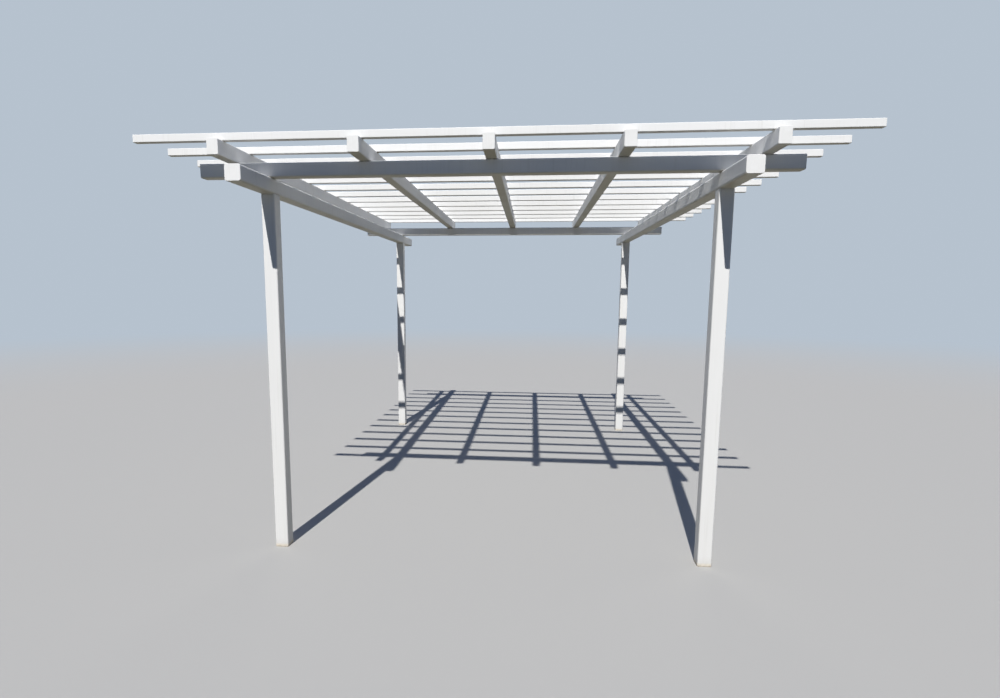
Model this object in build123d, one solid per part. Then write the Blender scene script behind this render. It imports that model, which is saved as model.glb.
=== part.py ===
"""White open pergola of square tubes: posts, side beams, cross beams, rafters and slats.

Four posts carry two side beams. Two cross beams lie across these, five rafters lie along the
cross beams, and thirteen slats lie across the rafters. Each layer rests flat on the one below,
and every open tube end is shut by a pressed-in cap.

Millimetres. The origin is on the ground in the middle of the four posts. +X is to the right
and +Y to the back, as seen from in front of the pergola, and +Z is up.
"""

import os

from build123d import *

# Posts: square tubes, spaced from centre to centre
POST_WIDTH = 90.0
POST_HEIGHT = 2363.0
POST_WALL = 3.0
POST_CORNER = 9.0
POST_SPACING_X = 2826.0
POST_SPACING_Y = 3792.0

# Side beams, on the posts; the overhang runs from the post's centre to the cap's face
SIDE_BEAM_WIDTH = 95.0
SIDE_BEAM_HEIGHT = 95.0
SIDE_BEAM_WALL = 3.0
SIDE_BEAM_CORNER = 13.0
SIDE_BEAM_OVERHANG = 486.0

# Cross beams, on the side beams; each stands this far in front of its posts' centres
CROSS_BEAM_WIDTH = 84.0
CROSS_BEAM_HEIGHT = 88.0
CROSS_BEAM_WALL = 3.0
CROSS_BEAM_CORNER = 9.0
CROSS_BEAM_OVERHANG = 417.0
FRONT_CROSS_BEAM_SHIFT = 46.0
BACK_CROSS_BEAM_SHIFT = 4.0

# Rafters, on the cross beams; the overhangs run from the posts' centres to the tube's ends, and
# the inner rafters stand a little to the right of the middle
RAFTER_WIDTH = 70.0
RAFTER_HEIGHT = 93.0
RAFTER_WALL = 2.5
RAFTER_CORNER = 7.0
RAFTER_FRONT_OVERHANG = 316.0
RAFTER_BACK_OVERHANG = 181.0
OUTER_RAFTER_OUTSET = 202.0
INNER_RAFTER_COUNT = 3
INNER_RAFTER_PITCH = 784.0
INNER_RAFTER_SHIFT = 18.0

# Slats, evenly spaced on the rafters; the first stands back from the rafters' front ends and the
# last is flush with their rear ends
SLAT_WIDTH = 42.0
SLAT_HEIGHT = 46.0
SLAT_WALL = 2.0
SLAT_CORNER = 4.0
SLAT_COUNT = 13
SLAT_OVERHANG = 740.0
SLAT_SETBACK = 59.0

# End caps: a bevelled face plate with a hollow plug that fits in the tube
CAP_THICKNESS = 4.0
CAP_BEVEL = 2.0
CAP_PLUG_DEPTH = 16.0
CAP_PLUG_WALL = 3.0
CAP_CLEARANCE = 0.2

# A cut corner in place of a round one: it takes this share of the radius off each side, so that
# it touches the arc at its middle and the wall keeps its thickness there
CUT_SHARE = 2 - 2 ** 0.5
SMALLEST_CORNER = 0.5

# Places and levels that follow from the sizes
POST_X = POST_SPACING_X / 2
POST_Y = POST_SPACING_Y / 2
SIDE_BEAM_END = POST_Y + SIDE_BEAM_OVERHANG
CROSS_BEAM_END = POST_X + CROSS_BEAM_OVERHANG
RAFTER_FRONT = -POST_Y - RAFTER_FRONT_OVERHANG
RAFTER_BACK = POST_Y + RAFTER_BACK_OVERHANG
OUTER_RAFTER_X = POST_X + OUTER_RAFTER_OUTSET
SLAT_END = POST_X + SLAT_OVERHANG
SLAT_PITCH = (RAFTER_BACK - RAFTER_FRONT - SLAT_SETBACK - SLAT_WIDTH) / (SLAT_COUNT - 1)

CROSS_BEAM_Y = {
    "front": -POST_Y - FRONT_CROSS_BEAM_SHIFT,
    "back": POST_Y - BACK_CROSS_BEAM_SHIFT,
}

SIDE_BEAM_Z = POST_HEIGHT + SIDE_BEAM_HEIGHT / 2
CROSS_BEAM_Z = POST_HEIGHT + SIDE_BEAM_HEIGHT + CROSS_BEAM_HEIGHT / 2
RAFTER_Z = CROSS_BEAM_Z + CROSS_BEAM_HEIGHT / 2 + RAFTER_HEIGHT / 2
SLAT_Z = RAFTER_Z + RAFTER_HEIGHT / 2 + SLAT_HEIGHT / 2

SIDES = {"left": -1, "right": 1}
DEPTHS = {"front": -1, "back": 1}


class Tube:
    """A rectangular tube, round at its outer corners: its section, and the caps for its ends."""

    def __init__(self, width, height, wall, corner):
        self.width = width
        self.height = height
        self.wall = wall
        self.corner = corner

    def round_outline(self):
        """The outside of the section."""
        return RectangleRounded(self.width, self.height, self.corner)

    def cut_outline(self, inset):
        """The outside moved inwards by an inset, with its corners cut instead of round."""
        corner = max(self.corner - inset, SMALLEST_CORNER)
        rectangle = Rectangle(self.width - 2 * inset, self.height - 2 * inset)
        return chamfer(rectangle.vertices(), CUT_SHARE * corner)

    def length(self, plane, length):
        """A length of the open tube, standing on a plane across its axis."""
        return extrude(plane * (self.round_outline() - self.cut_outline(self.wall)), length)

    def cap(self, plane, face):
        """An end cap, whose plate lies on a plane and whose plug points back into the tube."""
        plate = extrude(plane * face, CAP_THICKNESS)
        front_edges = plate.faces().sort_by(Axis(plane.origin, plane.z_dir))[-1].edges()
        plug_inset = self.wall + CAP_CLEARANCE
        hollow_inset = plug_inset + CAP_PLUG_WALL
        hollow = Rectangle(self.width - 2 * hollow_inset, self.height - 2 * hollow_inset)
        plug = extrude(plane * (self.cut_outline(plug_inset) - hollow), -CAP_PLUG_DEPTH)
        return chamfer(front_edges, CAP_BEVEL) + plug

    def round_cap(self, plane):
        """An end cap with the tube's own rounded outline."""
        return self.cap(plane, self.round_outline())

    def cut_cap(self, plane):
        """An end cap with cut corners, for a small tube."""
        return self.cap(plane, self.cut_outline(0))


POST = Tube(POST_WIDTH, POST_WIDTH, POST_WALL, POST_CORNER)
SIDE_BEAM = Tube(SIDE_BEAM_WIDTH, SIDE_BEAM_HEIGHT, SIDE_BEAM_WALL, SIDE_BEAM_CORNER)
CROSS_BEAM = Tube(CROSS_BEAM_WIDTH, CROSS_BEAM_HEIGHT, CROSS_BEAM_WALL, CROSS_BEAM_CORNER)
RAFTER = Tube(RAFTER_WIDTH, RAFTER_HEIGHT, RAFTER_WALL, RAFTER_CORNER)
SLAT = Tube(SLAT_WIDTH, SLAT_HEIGHT, SLAT_WALL, SLAT_CORNER)


def plane_facing_x(x, y, z, way=1):
    """A plane across the X axis, facing right (way 1) or left (way -1), with height upwards."""
    return Plane(origin=(x, y, z), x_dir=(0, way, 0), z_dir=(way, 0, 0))


def plane_facing_y(x, y, z, way=1):
    """A plane across the Y axis, facing back (way 1) or front (way -1), with height upwards."""
    return Plane(origin=(x, y, z), x_dir=(-way, 0, 0), z_dir=(0, way, 0))


def save(node, shape):
    """Writes one node's solids to its own file."""
    export_step(shape, f"parts/{node}.step")


def rafter_places():
    """The rafters' centres from left to right."""
    first_inner = INNER_RAFTER_SHIFT - INNER_RAFTER_PITCH * (INNER_RAFTER_COUNT - 1) / 2
    inner = [first_inner + INNER_RAFTER_PITCH * i for i in range(INNER_RAFTER_COUNT)]
    return [-OUTER_RAFTER_X, *inner, OUTER_RAFTER_X]


def slat_places():
    """The slats' centres from front to back."""
    first = RAFTER_FRONT + SLAT_SETBACK + SLAT_WIDTH / 2
    return [first + SLAT_PITCH * i for i in range(SLAT_COUNT)]


def make_posts():
    """Four posts, straight up from the ground and open at the foot."""
    for depth, y_way in DEPTHS.items():
        for side, x_way in SIDES.items():
            foot = Plane(origin=(x_way * POST_X, y_way * POST_Y, 0))
            save(f"post_{depth}_{side}", POST.length(foot, POST_HEIGHT))


def make_side_beams():
    """Two beams from front to back, each along the tops of two posts, and their caps."""
    tube_end = SIDE_BEAM_END - CAP_THICKNESS
    caps = []
    for side, x_way in SIDES.items():
        start = plane_facing_y(x_way * POST_X, -tube_end, SIDE_BEAM_Z)
        save(f"side_beam_{side}", SIDE_BEAM.length(start, 2 * tube_end))
        for y_way in DEPTHS.values():
            end = plane_facing_y(x_way * POST_X, y_way * tube_end, SIDE_BEAM_Z, y_way)
            caps.append(SIDE_BEAM.round_cap(end))
    save("side_beam_caps", Compound(caps))


def make_cross_beams():
    """Two beams from side to side over the side beams, near the posts, and their caps."""
    tube_end = CROSS_BEAM_END - CAP_THICKNESS
    caps = []
    for depth, y in CROSS_BEAM_Y.items():
        start = plane_facing_x(-tube_end, y, CROSS_BEAM_Z)
        save(f"cross_beam_{depth}", CROSS_BEAM.length(start, 2 * tube_end))
        for x_way in SIDES.values():
            end = plane_facing_x(x_way * tube_end, y, CROSS_BEAM_Z, x_way)
            caps.append(CROSS_BEAM.round_cap(end))
    save("cross_beam_caps", Compound(caps))


def make_rafters():
    """Five rafters from front to back over the cross beams, and their caps."""
    tube_ends = {"front": RAFTER_FRONT, "back": RAFTER_BACK}
    length = RAFTER_BACK - RAFTER_FRONT
    places = rafter_places()
    for number, x in enumerate(places, 1):
        start = plane_facing_y(x, RAFTER_FRONT, RAFTER_Z)
        save(f"rafter_{number}", RAFTER.length(start, length))
    for depth, y in tube_ends.items():
        ends = [plane_facing_y(x, y, RAFTER_Z, DEPTHS[depth]) for x in places]
        save(f"rafter_caps_{depth}", Compound([RAFTER.round_cap(end) for end in ends]))


def make_slats():
    """Thirteen slats from side to side over the rafters, and their caps."""
    tube_end = SLAT_END - CAP_THICKNESS
    places = slat_places()
    for number, y in enumerate(places, 1):
        start = plane_facing_x(-tube_end, y, SLAT_Z)
        save(f"slat_{number:02d}", SLAT.length(start, 2 * tube_end))
    for side, x_way in SIDES.items():
        ends = [plane_facing_x(x_way * tube_end, y, SLAT_Z, x_way) for y in places]
        save(f"slat_caps_{side}", Compound([SLAT.cut_cap(end) for end in ends]))


os.makedirs("parts", exist_ok=True)
make_posts()
make_side_beams()
make_cross_beams()
make_rafters()
make_slats()
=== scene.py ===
"""Looks of the white garden pergola: coated tubes and moulded end caps in a plain studio.

Metres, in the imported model's frame: the origin is on the ground in the middle of the four posts,
+X is to the right and +Y to the back as seen from in front, and +Z is up.
"""

import logging
import math
from abc import ABC, abstractmethod
from collections.abc import Iterable, Mapping
from dataclasses import dataclass
from enum import Enum

import bpy
from mathutils import Matrix, Vector

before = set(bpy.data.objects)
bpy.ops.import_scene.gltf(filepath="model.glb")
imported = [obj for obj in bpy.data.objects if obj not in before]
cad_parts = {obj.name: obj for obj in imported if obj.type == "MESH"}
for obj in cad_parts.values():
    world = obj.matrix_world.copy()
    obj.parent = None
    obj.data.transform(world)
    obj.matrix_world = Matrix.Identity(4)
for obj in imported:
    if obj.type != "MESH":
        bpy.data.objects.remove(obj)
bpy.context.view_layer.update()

IMAGE_WIDTH = 1000
IMAGE_HEIGHT = 698
MILLIMETRE = 0.001
RAFTER_COUNT = 5
SLAT_COUNT = 13
FLOOR_SIZE = 120.0

# The middle of a noise texture's range
NOISE_MEAN = 0.5

Triple = tuple[float, float, float]
Colour = Triple
Span = tuple[float, float]
log = logging.getLogger("pergola")


class Value:
    """A number in a node tree. Arithmetic on it adds Math nodes."""

    def __init__(self, graph: "Graph", socket: bpy.types.NodeSocket) -> None:
        """Wraps a socket of a graph."""
        self.graph = graph
        self.socket = socket

    def math(self, operation: str, *others: "Value | float") -> "Value":
        """Gives the result of a Math node on this value and others."""
        return self.graph.math(operation, self, *others)

    def __add__(self, other: "Value | float") -> "Value":
        """Adds a value or a number."""
        return self.math("ADD", other)

    def __radd__(self, other: float) -> "Value":
        """Adds this to a number."""
        return self.math("ADD", other)

    def __sub__(self, other: "Value | float") -> "Value":
        """Takes away a value or a number."""
        return self.math("SUBTRACT", other)

    def __mul__(self, other: "Value | float") -> "Value":
        """Multiplies by a value or a number."""
        return self.math("MULTIPLY", other)

    def __abs__(self) -> "Value":
        """Drops the sign."""
        return self.math("ABSOLUTE")

    def rise(self, start: float, end: float) -> "Value":
        """Goes smoothly from 0 to 1 as this value goes from start to end.

        Args:
            start: Where it is 0. It may be above end.
            end: Where it is 1.

        Returns:
            The smooth step, from 0 to 1.
        """
        settings = {"interpolation_type": "SMOOTHSTEP"}
        sockets = {"Value": self, "From Min": start, "From Max": end}
        return Value(self.graph, self.graph.add("MapRange", settings, sockets).outputs[0])


@dataclass(frozen=True)
class Grain:
    """How fine a noise texture is, and how its finer layers add up.

    Attributes:
        scale: Features per metre, roughly.
        detail: How many finer layers are added.
        roughness: How strong each finer layer is.
    """

    scale: float
    detail: float = 1.0
    roughness: float = 0.5


class Graph:
    """A node tree that is built node by node."""

    # The Mix node's sockets for colours
    MIX_SHARE = 0
    MIX_FIRST = 6
    MIX_SECOND = 7
    MIX_RESULT = 2

    # The share of cells that hold a speck, and a speck's soft edge as a share of its greatest radius
    SPECKED_CELLS = 0.5
    SPECK_EDGE = 0.25

    def __init__(self, tree: bpy.types.NodeTree) -> None:
        """Starts with an empty tree."""
        self.tree = tree
        tree.nodes.clear()

    def add(
        self,
        kind: str,
        settings: Mapping[str, object] | None = None,
        sockets: Mapping[int | str, object] | None = None,
    ) -> bpy.types.Node:
        """Adds a node.

        Args:
            kind: The node's type, without the word ShaderNode.
            settings: The node's own properties, which are set first.
            sockets: A number, colour, vector or link for each socket, by its number or name.

        Returns:
            The new node.
        """
        node = self.tree.nodes.new(f"ShaderNode{kind}")
        for name, setting in (settings or {}).items():
            setattr(node, name, setting)
        for key, given in (sockets or {}).items():
            socket = node.inputs[key]
            source = given.socket if isinstance(given, Value) else given
            if isinstance(source, bpy.types.NodeSocket):
                self.tree.links.new(source, socket)
            elif socket.type == "RGBA":
                socket.default_value = (*source, 1.0)
            else:
                socket.default_value = source
        return node

    def math(self, operation: str, *operands: Value | float) -> Value:
        """Gives the result of a Math node on values and numbers."""
        node = self.add("Math", {"operation": operation}, dict(enumerate(operands)))
        return Value(self, node.outputs[0])

    def mix(self, share: Value | float, first: object, second: object) -> bpy.types.NodeSocket:
        """Mixes two colours.

        Args:
            share: How much of the second colour shows, from 0 to 1.
            first: A colour or its socket.
            second: A colour or its socket.

        Returns:
            The socket of the mixed colour.
        """
        settings = {"data_type": "RGBA", "blend_type": "MIX"}
        sockets = {self.MIX_SHARE: share, self.MIX_FIRST: first, self.MIX_SECOND: second}
        return self.add("Mix", settings, sockets).outputs[self.MIX_RESULT]

    def stretch(self, place: bpy.types.NodeSocket, by: Triple) -> bpy.types.NodeSocket:
        """Scales a place along each axis, so that a texture on it is drawn out."""
        return self.add("VectorMath", {"operation": "MULTIPLY"}, {0: place, 1: by}).outputs[0]

    def noise(self, place: bpy.types.NodeSocket, grain: Grain) -> Value:
        """Gives a soft random value.

        Args:
            place: The socket of the place in metres.
            grain: How fine the noise is.

        Returns:
            The noise, from 0 to 1 about NOISE_MEAN.
        """
        sockets = {
            "Vector": place,
            "Scale": grain.scale,
            "Detail": grain.detail,
            "Roughness": grain.roughness,
        }
        return Value(self, self.add("TexNoise", None, sockets).outputs[0])

    def specks(self, place: bpy.types.NodeSocket, scale: float, size: float) -> Value:
        """Gives sparse round specks of all sizes up to the greatest.

        Args:
            place: The socket of the place in metres.
            scale: Cells per metre. Some of them hold a speck.
            size: A speck's greatest radius, as a share of its cell.

        Returns:
            1 in a speck and 0 outside.
        """
        sockets = {"Vector": place, "Scale": scale, "Randomness": 1.0}
        cells = self.add("TexVoronoi", {"feature": "F1"}, sockets)
        chance = self.add("SeparateColor", None, {0: cells.outputs["Color"]}).outputs[0]
        radius = (Value(self, chance) - (1.0 - self.SPECKED_CELLS)) * (size / self.SPECKED_CELLS)
        return (radius - Value(self, cells.outputs["Distance"])).rise(0.0, size * self.SPECK_EDGE)

    def seen(self) -> Value:
        """Tells rays that see from rays that only light.

        Returns:
            1 for camera, glossy and see-through rays, and 0 for the rest.
        """
        rays = self.add("LightPath").outputs
        seen = Value(self, rays["Is Camera Ray"]).math("MAXIMUM", Value(self, rays["Is Glossy Ray"]))
        return seen.math("MAXIMUM", Value(self, rays["Is Transmission Ray"]))


class Surface:
    """What a finish reads of the surface that it lies on."""

    # How far up a unit normal points where a face starts to count as level or upright, and where
    # it fully counts
    LEVEL_TILT: Span = (0.35, 0.95)
    UPRIGHT_TILT: Span = (0.6, 0.15)

    # How open a face is where the painted shade of an inside corner starts, and where it is full
    CORNER_OPENNESS: Span = (0.85, 0.35)
    CORNER_SAMPLES = 6

    def __init__(self, graph: Graph) -> None:
        """Adds the nodes that read the place and the slope.

        Args:
            graph: The material's node tree.
        """
        self.graph = graph
        self.place = graph.add("TexCoord").outputs["Object"]
        self.height = Value(graph, graph.add("SeparateXYZ", None, {0: self.place}).outputs[2])
        normal = graph.add("NewGeometry").outputs["Normal"]
        tilt = Value(graph, graph.add("SeparateXYZ", None, {0: normal}).outputs[2])
        self.top = tilt.rise(*self.LEVEL_TILT)
        self.underside = tilt.rise(*(-level for level in self.LEVEL_TILT))
        self.upright = abs(tilt).rise(*self.UPRIGHT_TILT)

    def corner(self, reach: float) -> Value:
        """Rises from 0 on open faces to 1 in inside corners, as the mask of the painted corner
        shade.

        Args:
            reach: How far from a corner it is felt.

        Returns:
            The closeness to a corner.
        """
        settings = {"samples": self.CORNER_SAMPLES}
        openness = self.graph.add("AmbientOcclusion", settings, {"Distance": reach}).outputs["AO"]
        return Value(self.graph, openness).rise(*self.CORNER_OPENNESS)


@dataclass(frozen=True)
class Weather:
    """What the open air has left on a white surface, and painted shade in its inside corners.

    A layer's share is how much of its colour shows at most. A spread is the span of the noise in
    which the layer goes from bare to full.
    """

    # The noises that make the layers uneven
    clouds: Grain = Grain(2.6, 5.0, 0.6)
    fine: Grain = Grain(34.0, 4.0, 0.62)

    # Light dust on tops
    dust: Colour = (0.56, 0.51, 0.43)
    dust_share: float = 0.46
    dust_cloudiness: float = 0.6
    dust_spread: Span = (0.34, 0.66)

    # Rain streaks down upright faces, where the clouds let them show
    streak: Colour = (0.50, 0.48, 0.43)
    streak_share: float = 0.15
    streak_width: float = 0.014
    streak_length: float = 0.75
    streak_grain: Grain = Grain(1.0, 3.0, 0.6)
    streak_spread: Span = (0.50, 0.76)
    streak_clouds: Span = (0.30, 0.62)

    # A warm, darker tint on undersides
    underside_tint: Colour = (0.63, 0.60, 0.52)
    underside_tint_share: float = 0.22
    underside_tint_spread: Span = (0.35, 0.70)

    # Soil splashed up from the ground, to an uneven height
    soil: Colour = (0.36, 0.27, 0.17)
    soil_height: float = 0.075
    soil_raggedness: float = 1.3
    soil_share: float = 0.30
    soil_spread: Span = (0.28, 0.72)

    # Damp drawn up from the ground, full over the lowest share of its height
    damp: Colour = (0.80, 0.69, 0.50)
    damp_height: float = 0.028
    damp_full: float = 1 / 3
    damp_share: float = 0.50

    # A thin dark line along the ground, in the soil's colour, full over the lowest share of its
    # height
    ground_line: float = 0.006
    ground_line_full: float = 1 / 4
    ground_line_share: float = 0.6

    # Grime and painted shade in inside corners: a dark colour where faces close in, where shade
    # falls
    grime_and_corner_shade: Colour = (0.22, 0.20, 0.16)
    grime_and_shade_share: float = 0.60
    grime_and_shade_reach: float = 0.024
    grime_and_shade_spread: Span = (0.22, 0.60)

    # Specks, with the number of their cells per metre and their size as a share of a cell
    speck: Colour = (0.30, 0.24, 0.17)
    speck_share: float = 0.35
    speck_cells: float = 42.0
    speck_size: float = 0.055

    def layers(self, surface: Surface) -> Iterable[tuple[Value, Colour]]:
        """Gives each layer of dirt, and the painted shade in inside corners, from the first to the
        last.

        Args:
            surface: The surface that the dirt lies on.

        Yields:
            How much of the surface the layer covers, and its colour.
        """
        graph = surface.graph
        place = surface.place
        clouds = graph.noise(place, self.clouds)
        fine = graph.noise(place, self.fine)
        across = 1.0 / self.streak_width
        streak_place = graph.stretch(place, (across, across, 1.0 / self.streak_length))
        streaks = graph.noise(streak_place, self.streak_grain)

        uneven = clouds * self.dust_cloudiness + fine * (1.0 - self.dust_cloudiness)
        yield surface.top * uneven.rise(*self.dust_spread) * self.dust_share, self.dust

        wet = surface.upright * streaks.rise(*self.streak_spread) * clouds.rise(*self.streak_clouds)
        yield wet * self.streak_share, self.streak

        # A warm, darker tint on undersides, where the clouds let it show
        yield surface.underside * clouds.rise(*self.underside_tint_spread) * self.underside_tint_share, self.underside_tint

        ragged = fine - NOISE_MEAN
        soil_edge = surface.height + ragged * (self.soil_height * self.soil_raggedness)
        splash = soil_edge + (clouds - NOISE_MEAN) * self.soil_height
        splashed = splash.rise(self.soil_height, 0.0) * fine.rise(*self.soil_spread)
        yield splashed * self.soil_share, self.soil

        damp_edge = surface.height + ragged * self.damp_height
        damp = damp_edge.rise(self.damp_height, self.damp_height * self.damp_full)
        yield damp * self.damp_share, self.damp

        # A thin dark line along the ground
        line = surface.height.rise(self.ground_line, self.ground_line * self.ground_line_full)
        yield line * self.ground_line_share, self.soil

        # Painted shade: inside corners, found by ambient occlusion, are darkened in the grime colour
        corner = surface.corner(self.grime_and_shade_reach)
        yield corner * fine.rise(*self.grime_and_shade_spread) * self.grime_and_shade_share, self.grime_and_corner_shade

        yield graph.specks(place, self.speck_cells, self.speck_size) * self.speck_share, self.speck


@dataclass(frozen=True)
class Variation:
    """How a clean finish varies: its share of shade, its roughness and its height in metres."""

    shade: Value
    roughness: Value
    height: Value


@dataclass(frozen=True, kw_only=True)
class Finish(ABC):
    """A white finish that varies a little, under what the weather has left on it and painted shade
    in inside corners.

    Attributes:
        name: The material's name.
        colour: Its main colour.
        shade: A slightly darker tone that shows in places.
        shade_spread: The span of the noise in which the colour goes over to the shade.
        patches: The noise of its slow changes.
        roughness: Its mean roughness.
        roughness_spread: How far the noise's whole range moves the roughness.
        dirt_roughness: What a full layer of dirt adds to the roughness.
        refraction: Its index of refraction.
        sheen_level: Its specular level.
        weather: The dirt that lies on it, and the painted shade in its inside corners.
    """

    name: str
    colour: Colour
    shade: Colour
    shade_spread: Span
    patches: Grain
    roughness: float
    roughness_spread: float
    dirt_roughness: float
    refraction: float
    sheen_level: float
    weather: Weather = Weather()

    @abstractmethod
    def variation(self, surface: Surface) -> Variation:
        """Gives how the clean finish varies.

        Args:
            surface: The surface that it lies on.

        Returns:
            Its shade, roughness and height.
        """

    def material(self) -> bpy.types.Material:
        """Builds the finish's material.

        Returns:
            The material, with the finish's name.
        """
        made = bpy.data.materials.new(self.name)
        made.use_nodes = True
        graph = Graph(made.node_tree)
        surface = Surface(graph)
        clean = self.variation(surface)
        colour = graph.mix(clean.shade, self.colour, self.shade)
        roughness = clean.roughness
        for share, dirt in self.weather.layers(surface):
            colour = graph.mix(share, colour, dirt)
            roughness = roughness + share * self.dirt_roughness
        relief = {"Strength": 1.0, "Distance": 1.0, "Height": clean.height}
        sockets = {
            "Base Color": colour,
            "Roughness": roughness,
            "IOR": self.refraction,
            "Specular IOR Level": self.sheen_level,
            "Normal": graph.add("Bump", None, relief).outputs[0],
        }
        shader = graph.add("BsdfPrincipled", None, sockets)
        graph.add("OutputMaterial", None, {"Surface": shader.outputs[0]})
        return made


class Run(Enum):
    """The way that a member lies, as a scale that draws marks out along its length."""

    UP = (1.0, 1.0, 0.03)
    ACROSS = (0.03, 1.0, 1.0)
    BACK = (1.0, 0.03, 1.0)


@dataclass(frozen=True, kw_only=True)
class Coating(Finish):
    """White coating on drawn tube, of a low sheen.

    Soft patches and bands along the tube vary its colour and roughness. Its relief is a fine peel,
    faint draw lines and a slow ripple.
    """

    run: Run
    colour: Colour = (0.865, 0.862, 0.850)
    shade: Colour = (0.838, 0.835, 0.820)
    shade_spread: Span = (0.36, 0.68)
    patches: Grain = Grain(1.7, 4.0, 0.55)
    bands: Grain = Grain(26.0, 3.0, 0.6)
    band_share: float = 0.5
    roughness: float = 0.46
    roughness_spread: float = 0.12
    dirt_roughness: float = 0.35
    refraction: float = 1.5
    sheen_level: float = 0.28
    peel: Grain = Grain(380.0)
    peel_height: float = 0.022 * MILLIMETRE
    lines: Grain = Grain(420.0)
    line_height: float = 0.012 * MILLIMETRE
    ripple: Grain = Grain(9.0)
    ripple_height: float = 0.16 * MILLIMETRE

    def variation(self, surface: Surface) -> Variation:
        """Gives the coating's patches and bands, and its peel, draw lines and ripple.

        Args:
            surface: The surface that it lies on.

        Returns:
            Its shade, roughness and height.
        """
        graph = surface.graph
        drawn_out = graph.stretch(surface.place, self.run.value)
        patches = graph.noise(surface.place, self.patches)
        bands = graph.noise(drawn_out, self.bands)
        uneven = patches * (1.0 - self.band_share) + bands * self.band_share
        banded = self.roughness + (bands - NOISE_MEAN) * self.roughness_spread
        roughness = banded + (patches - NOISE_MEAN) * self.roughness_spread
        peel = graph.noise(surface.place, self.peel) * self.peel_height
        lines = graph.noise(drawn_out, self.lines) * self.line_height
        ripple = graph.noise(drawn_out, self.ripple) * self.ripple_height
        return Variation(uneven.rise(*self.shade_spread), roughness, peel + lines + ripple)


@dataclass(frozen=True, kw_only=True)
class MouldedCap(Finish):
    """White moulded plastic of the end caps, satin, finely grained and slightly sunk in places."""

    colour: Colour = (0.862, 0.858, 0.845)
    shade: Colour = (0.825, 0.820, 0.802)
    shade_spread: Span = (0.35, 0.70)
    patches: Grain = Grain(12.0, 4.0, 0.6)
    roughness: float = 0.50
    roughness_spread: float = 0.10
    dirt_roughness: float = 0.30
    refraction: float = 1.49
    sheen_level: float = 0.32
    grain: Grain = Grain(1500.0)
    grain_height: float = 0.01 * MILLIMETRE
    sink: Grain = Grain(45.0)
    sink_height: float = 0.12 * MILLIMETRE
    weather: Weather = Weather(
        dust_share=0.30, streak_share=0.12, streak_width=0.008, streak_length=0.06
    )

    def variation(self, surface: Surface) -> Variation:
        """Gives the plastic's patches, and its grain and sink marks.

        Args:
            surface: The surface that it lies on.

        Returns:
            Its shade, roughness and height.
        """
        graph = surface.graph
        patches = graph.noise(surface.place, self.patches)
        roughness = self.roughness + (patches - NOISE_MEAN) * self.roughness_spread
        grain = graph.noise(surface.place, self.grain) * self.grain_height
        sink = graph.noise(surface.place, self.sink) * self.sink_height
        return Variation(patches.rise(*self.shade_spread), roughness, grain + sink)


def dress(node: str, material: bpy.types.Material) -> None:
    """Gives a CAD node its finish.

    Args:
        node: The node's name.
        material: Its material.
    """
    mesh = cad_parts[node].data
    mesh.materials.clear()
    mesh.materials.append(material)
    log.info("dressed %s in %s", node, material.name)


@dataclass
class Members:
    """Pieces of one kind, which share a finish."""

    nodes: tuple[str, ...]
    finish: Finish

    def build(self) -> None:
        """Gives every piece the finish."""
        material = self.finish.material()
        for node in self.nodes:
            dress(node, material)


@dataclass
class Posts(Members):
    """The four posts, which stand on the ground."""

    nodes: tuple[str, ...] = (
        "post_front_left",
        "post_front_right",
        "post_back_left",
        "post_back_right",
    )
    finish: Finish = Coating(name="post_coating", run=Run.UP)


@dataclass
class SideBeams(Members):
    """The two beams that lie from front to back on the posts."""

    nodes: tuple[str, ...] = ("side_beam_left", "side_beam_right")
    finish: Finish = Coating(name="side_beam_coating", run=Run.BACK)


@dataclass
class CrossBeams(Members):
    """The two beams that lie from side to side on the side beams."""

    nodes: tuple[str, ...] = ("cross_beam_front", "cross_beam_back")
    finish: Finish = Coating(name="cross_beam_coating", run=Run.ACROSS)


@dataclass
class Rafters(Members):
    """The five rafters that lie from front to back on the cross beams."""

    nodes: tuple[str, ...] = tuple(f"rafter_{number}" for number in range(1, RAFTER_COUNT + 1))
    finish: Finish = Coating(name="rafter_coating", run=Run.BACK)


@dataclass
class Slats(Members):
    """The thirteen slats that lie from side to side on the rafters."""

    nodes: tuple[str, ...] = tuple(f"slat_{number:02d}" for number in range(1, SLAT_COUNT + 1))
    finish: Finish = Coating(name="slat_coating", run=Run.ACROSS)


@dataclass
class EndCaps(Members):
    """The caps that shut the open ends of all tubes but the posts."""

    nodes: tuple[str, ...] = (
        "side_beam_caps",
        "cross_beam_caps",
        "rafter_caps_front",
        "rafter_caps_back",
        "slat_caps_left",
        "slat_caps_right",
    )
    finish: Finish = MouldedCap(name="cap_plastic")


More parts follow.
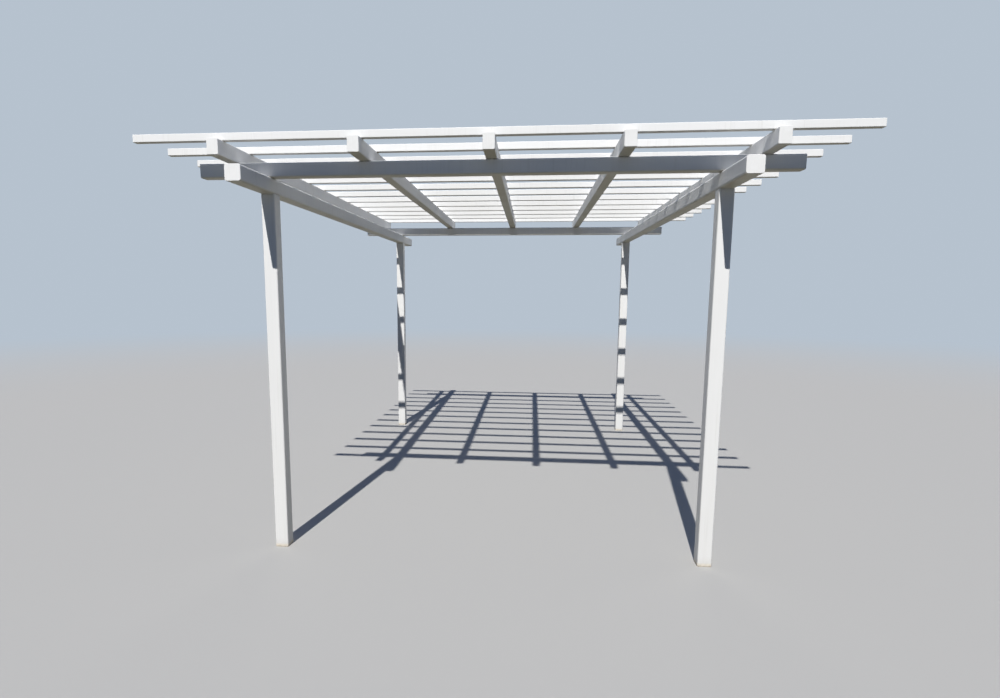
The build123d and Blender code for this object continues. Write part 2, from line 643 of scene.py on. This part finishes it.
@dataclass(frozen=True)
class Camera:
    """The camera, where the photograph was taken from.

    Attributes:
        eye: Its place.
        yaw: How far it turns to the right, in degrees.
        pitch: How far it tilts up, in degrees.
        roll: How far it leans to the left, in degrees.
        focal_length_px: Its focal length in the image's pixels.
        centre_px: Where its axis meets the image, in pixels from the left and from the top.
        sensor: Its sensor's width, in millimetres.
        reach: How far it sees, which is past the floor's edges.
    """

    eye: Triple = (0.2771, -5.6557, 1.75)
    yaw: float = -5.596
    pitch: float = -7.828
    roll: float = 0.265
    focal_length_px: float = 587.6
    centre_px: tuple[float, float] = (473.8, 372.7)
    sensor: float = 36.0
    reach: float = 2 * FLOOR_SIZE

    def turn(self) -> Matrix:
        """Works out how the camera is turned.

        Returns:
            The turn from the camera's own axes to the frame's.
        """
        yaw, pitch, roll = (math.radians(angle) for angle in (self.yaw, self.pitch, self.roll))
        level = math.cos(pitch)
        forward = Vector((math.sin(yaw) * level, math.cos(yaw) * level, math.sin(pitch)))
        level_right = Vector((math.cos(yaw), -math.sin(yaw), 0.0))
        level_up = level_right.cross(forward)
        right = level_right * math.cos(roll) + level_up * math.sin(roll)
        up = level_up * math.cos(roll) - level_right * math.sin(roll)
        return Matrix((right, up, -forward)).transposed().to_4x4()

    def build(self) -> None:
        """Adds the camera and makes it the scene's."""
        data = bpy.data.cameras.new("camera")
        data.sensor_fit = "HORIZONTAL"
        data.sensor_width = self.sensor
        data.lens = self.focal_length_px / IMAGE_WIDTH * self.sensor
        data.shift_x = (IMAGE_WIDTH / 2 - self.centre_px[0]) / IMAGE_WIDTH
        data.shift_y = (self.centre_px[1] - IMAGE_HEIGHT / 2) / IMAGE_WIDTH
        data.clip_end = self.reach
        camera = bpy.data.objects.new("camera", data)
        camera.matrix_world = Matrix.Translation(Vector(self.eye)) @ self.turn()
        bpy.context.scene.collection.objects.link(camera)
        bpy.context.scene.camera = camera


@dataclass(frozen=True, kw_only=True)
class Lamp:
    """A lamp so far away that all its light comes from one way.

    Attributes:
        name: Its name.
        towards: The way from the pergola to the lamp.
        strength: Its strength.
        angle: How wide it looks from the pergola, in degrees.
        colour: Its colour.
        shines: Whether it shows in glossy surfaces.
    """

    name: str
    towards: Triple
    strength: float
    angle: float
    colour: Colour
    shines: bool = True

    def build(self) -> None:
        """Adds the lamp."""
        data = bpy.data.lights.new(self.name, "SUN")
        data.energy = self.strength
        data.angle = math.radians(self.angle)
        data.color = self.colour
        lamp = bpy.data.objects.new(self.name, data)
        lamp.rotation_mode = "QUATERNION"
        lamp.rotation_quaternion = Vector(self.towards).to_track_quat("Z", "Y")
        lamp.visible_glossy = self.shines
        bpy.context.scene.collection.objects.link(lamp)


@dataclass(frozen=True, kw_only=True)
class SoftLamp(Lamp):
    """A wide warm lamp that fills the shade and leaves no shine."""

    angle: float = 36.0
    colour: Colour = (1.0, 0.94, 0.82)
    shines: bool = False


@dataclass
class Studio:
    """The camera, lamps, backdrop and floor.

    The main lamp is high in front, a little to the left, and soft ones are at the sides and behind.
    """

    camera: Camera = Camera()
    lamps: tuple[Lamp, ...] = (
        Lamp(
            name="main_lamp",
            towards=(-0.137, -1.0, 1.07),
            strength=4.22,
            angle=0.6,
            colour=(1.0, 0.985, 0.955),
        ),
        SoftLamp(name="left_lamp", towards=(-1.0, 0.35, 0.10), strength=0.14),
        SoftLamp(name="right_lamp", towards=(1.0, 0.35, 0.10), strength=0.55),
        SoftLamp(name="back_lamp", towards=(0.0, 1.0, 0.10), strength=1.6, colour=(1.0, 0.97, 0.92)),
    )

    # What the backdrop and the floor show, and the light that each gives
    backdrop: Colour = (0.470, 0.540, 0.620)
    sky_light: Colour = (0.006, 0.050, 0.158)
    floor_colour: Colour = (0.480, 0.471, 0.452)
    floor_bounce: Colour = (0.096, 0.081, 0.040)

    # How far the floor is under the feet, and the distances over which it fades into the backdrop
    floor_gap: float = 0.2 * MILLIMETRE
    fade: Span = (7.0, 24.0)

    def build(self) -> None:
        """Sets up everything that isn't the pergola."""
        self.camera.build()
        for lamp in self.lamps:
            lamp.build()
        self.make_world()
        self.make_floor()
        bpy.context.scene.view_settings.view_transform = "Standard"

    def make_world(self) -> None:
        """Makes a pale backdrop that gives only a little cool light."""
        world = bpy.data.worlds.new("studio")
        world.use_nodes = True
        bpy.context.scene.world = world
        graph = Graph(world.node_tree)
        colour = graph.mix(graph.seen(), self.sky_light, self.backdrop)
        shader = graph.add("Background", None, {"Color": colour, "Strength": 1.0})
        graph.add("OutputWorld", None, {"Surface": shader.outputs[0]})

    def floor_material(self) -> bpy.types.Material:
        """Builds the floor's finish, which keeps shadows and fades into the backdrop far away.

        Returns:
            The material.
        """
        made = bpy.data.materials.new("floor")
        made.use_nodes = True
        graph = Graph(made.node_tree)
        place = graph.add("TexCoord").outputs["Object"]
        length = graph.add("VectorMath", {"operation": "LENGTH"}, {0: place}).outputs["Value"]
        faded = Value(graph, length).rise(*self.fade)
        colour = graph.mix(graph.seen(), self.floor_bounce, self.floor_colour)
        near = graph.add("BsdfDiffuse", None, {"Color": colour})
        far = graph.add("Emission", None, {"Color": self.backdrop, "Strength": 1.0})
        sockets = {0: faded, 1: near.outputs[0], 2: far.outputs[0]}
        shader = graph.add("MixShader", None, sockets)
        graph.add("OutputMaterial", None, {"Surface": shader.outputs[0]})
        return made

    def make_floor(self) -> None:
        """Lays a wide plain floor."""
        half = FLOOR_SIZE / 2
        corners = [(-half, -half), (half, -half), (half, half), (-half, half)]
        mesh = bpy.data.meshes.new("floor")
        mesh.from_pydata([(x, y, -self.floor_gap) for x, y in corners], [], [(0, 1, 2, 3)])
        mesh.materials.append(self.floor_material())
        floor = bpy.data.objects.new("floor", mesh)
        bpy.context.scene.collection.objects.link(floor)


def main() -> None:
    """Builds the looks, part by part."""
    logging.basicConfig(level=logging.INFO, format="%(message)s")
    for part in (Posts(), SideBeams(), CrossBeams(), Rafters(), Slats(), EndCaps(), Studio()):
        part.build()
        log.info("built %s", type(part).__name__)


if __name__ == "__main__":
    main()
